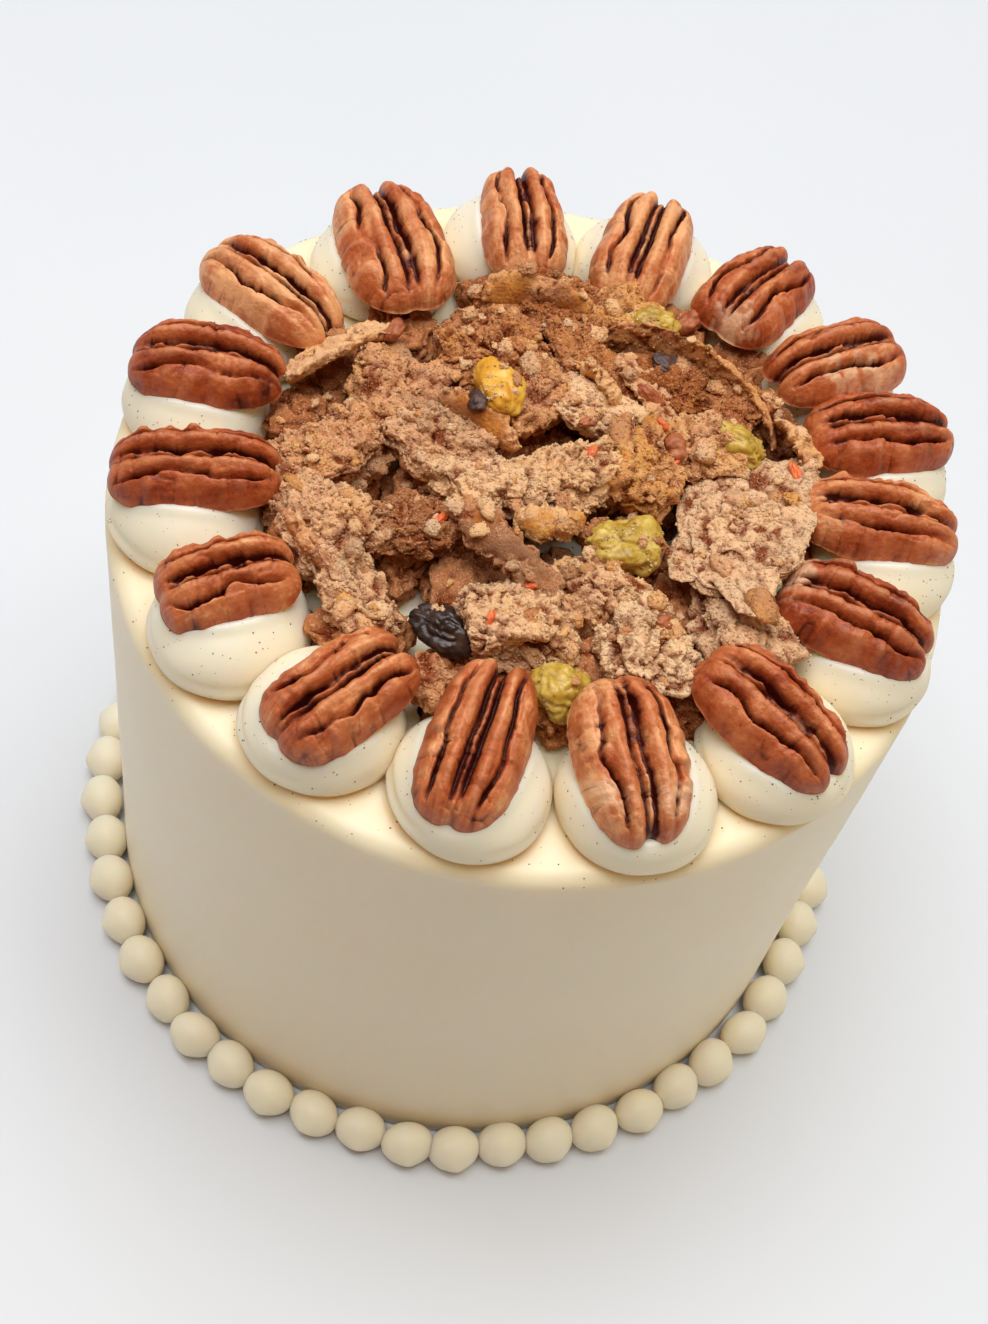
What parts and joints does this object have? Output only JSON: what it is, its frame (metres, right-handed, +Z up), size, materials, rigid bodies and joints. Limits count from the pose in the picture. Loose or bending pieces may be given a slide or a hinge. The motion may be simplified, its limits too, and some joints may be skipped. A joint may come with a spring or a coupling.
{
  "type": "carrot cake",
  "caption": "Tall round carrot cake in smooth cream-cheese icing, with a piped pearl border and, on top, pecan halves on piped mounds around crumbled cake and dried fruit",
  "frame": {"origin": "On the ground at the cake's axis, in the middle of its underside", "axes": "+Z up along the cake's axis; -Y is the front, +X to the right seen from the front"},
  "size_m": [0.1865, 0.1866, 0.1494],
  "materials": {
    "icing": "smooth ivory cream-cheese icing with a soft sheen",
    "pecan": "wrinkled red-brown pecan skin with a slight oily sheen",
    "cake_crumb": "open pinkish-tan crumb with darker crusts",
    "raisin": "dark wrinkled raisin skin with a soft shine",
    "golden_raisin": "translucent yellow-green wrinkled skin",
    "dried_fruit": "translucent golden-orange dried fruit"
  },
  "bodies": {
    "root": {"iced_cake": "icing", "pearl_border": "icing", "icing_mound_01": "icing", "icing_mound_02": "icing", "icing_mound_03": "icing", "icing_mound_04": "icing", "icing_mound_05": "icing", "icing_mound_06": "icing", "icing_mound_07": "icing", "icing_mound_08": "icing", "icing_mound_09": "icing", "icing_mound_10": "icing", "icing_mound_11": "icing", "icing_mound_12": "icing", "icing_mound_13": "icing", "icing_mound_14": "icing", "icing_mound_15": "icing", "icing_mound_16": "icing", "pecan_half_01": "pecan", "pecan_half_02": "pecan", "pecan_half_03": "pecan", "pecan_half_04": "pecan", "pecan_half_05": "pecan", "pecan_half_06": "pecan", "pecan_half_07": "pecan", "pecan_half_08": "pecan", "pecan_half_09": "pecan", "pecan_half_10": "pecan", "pecan_half_11": "pecan", "pecan_half_12": "pecan", "pecan_half_13": "pecan", "pecan_half_14": "pecan", "pecan_half_15": "pecan", "pecan_half_16": "pecan", "crumbled_cake": "cake_crumb", "raisin": "raisin", "golden_raisin_front": "golden_raisin", "golden_raisin_middle": "golden_raisin", "golden_raisin_right": "golden_raisin", "golden_raisin_back": "golden_raisin", "dried_fruit_piece": "dried_fruit"}
  },
  "joints": []
}
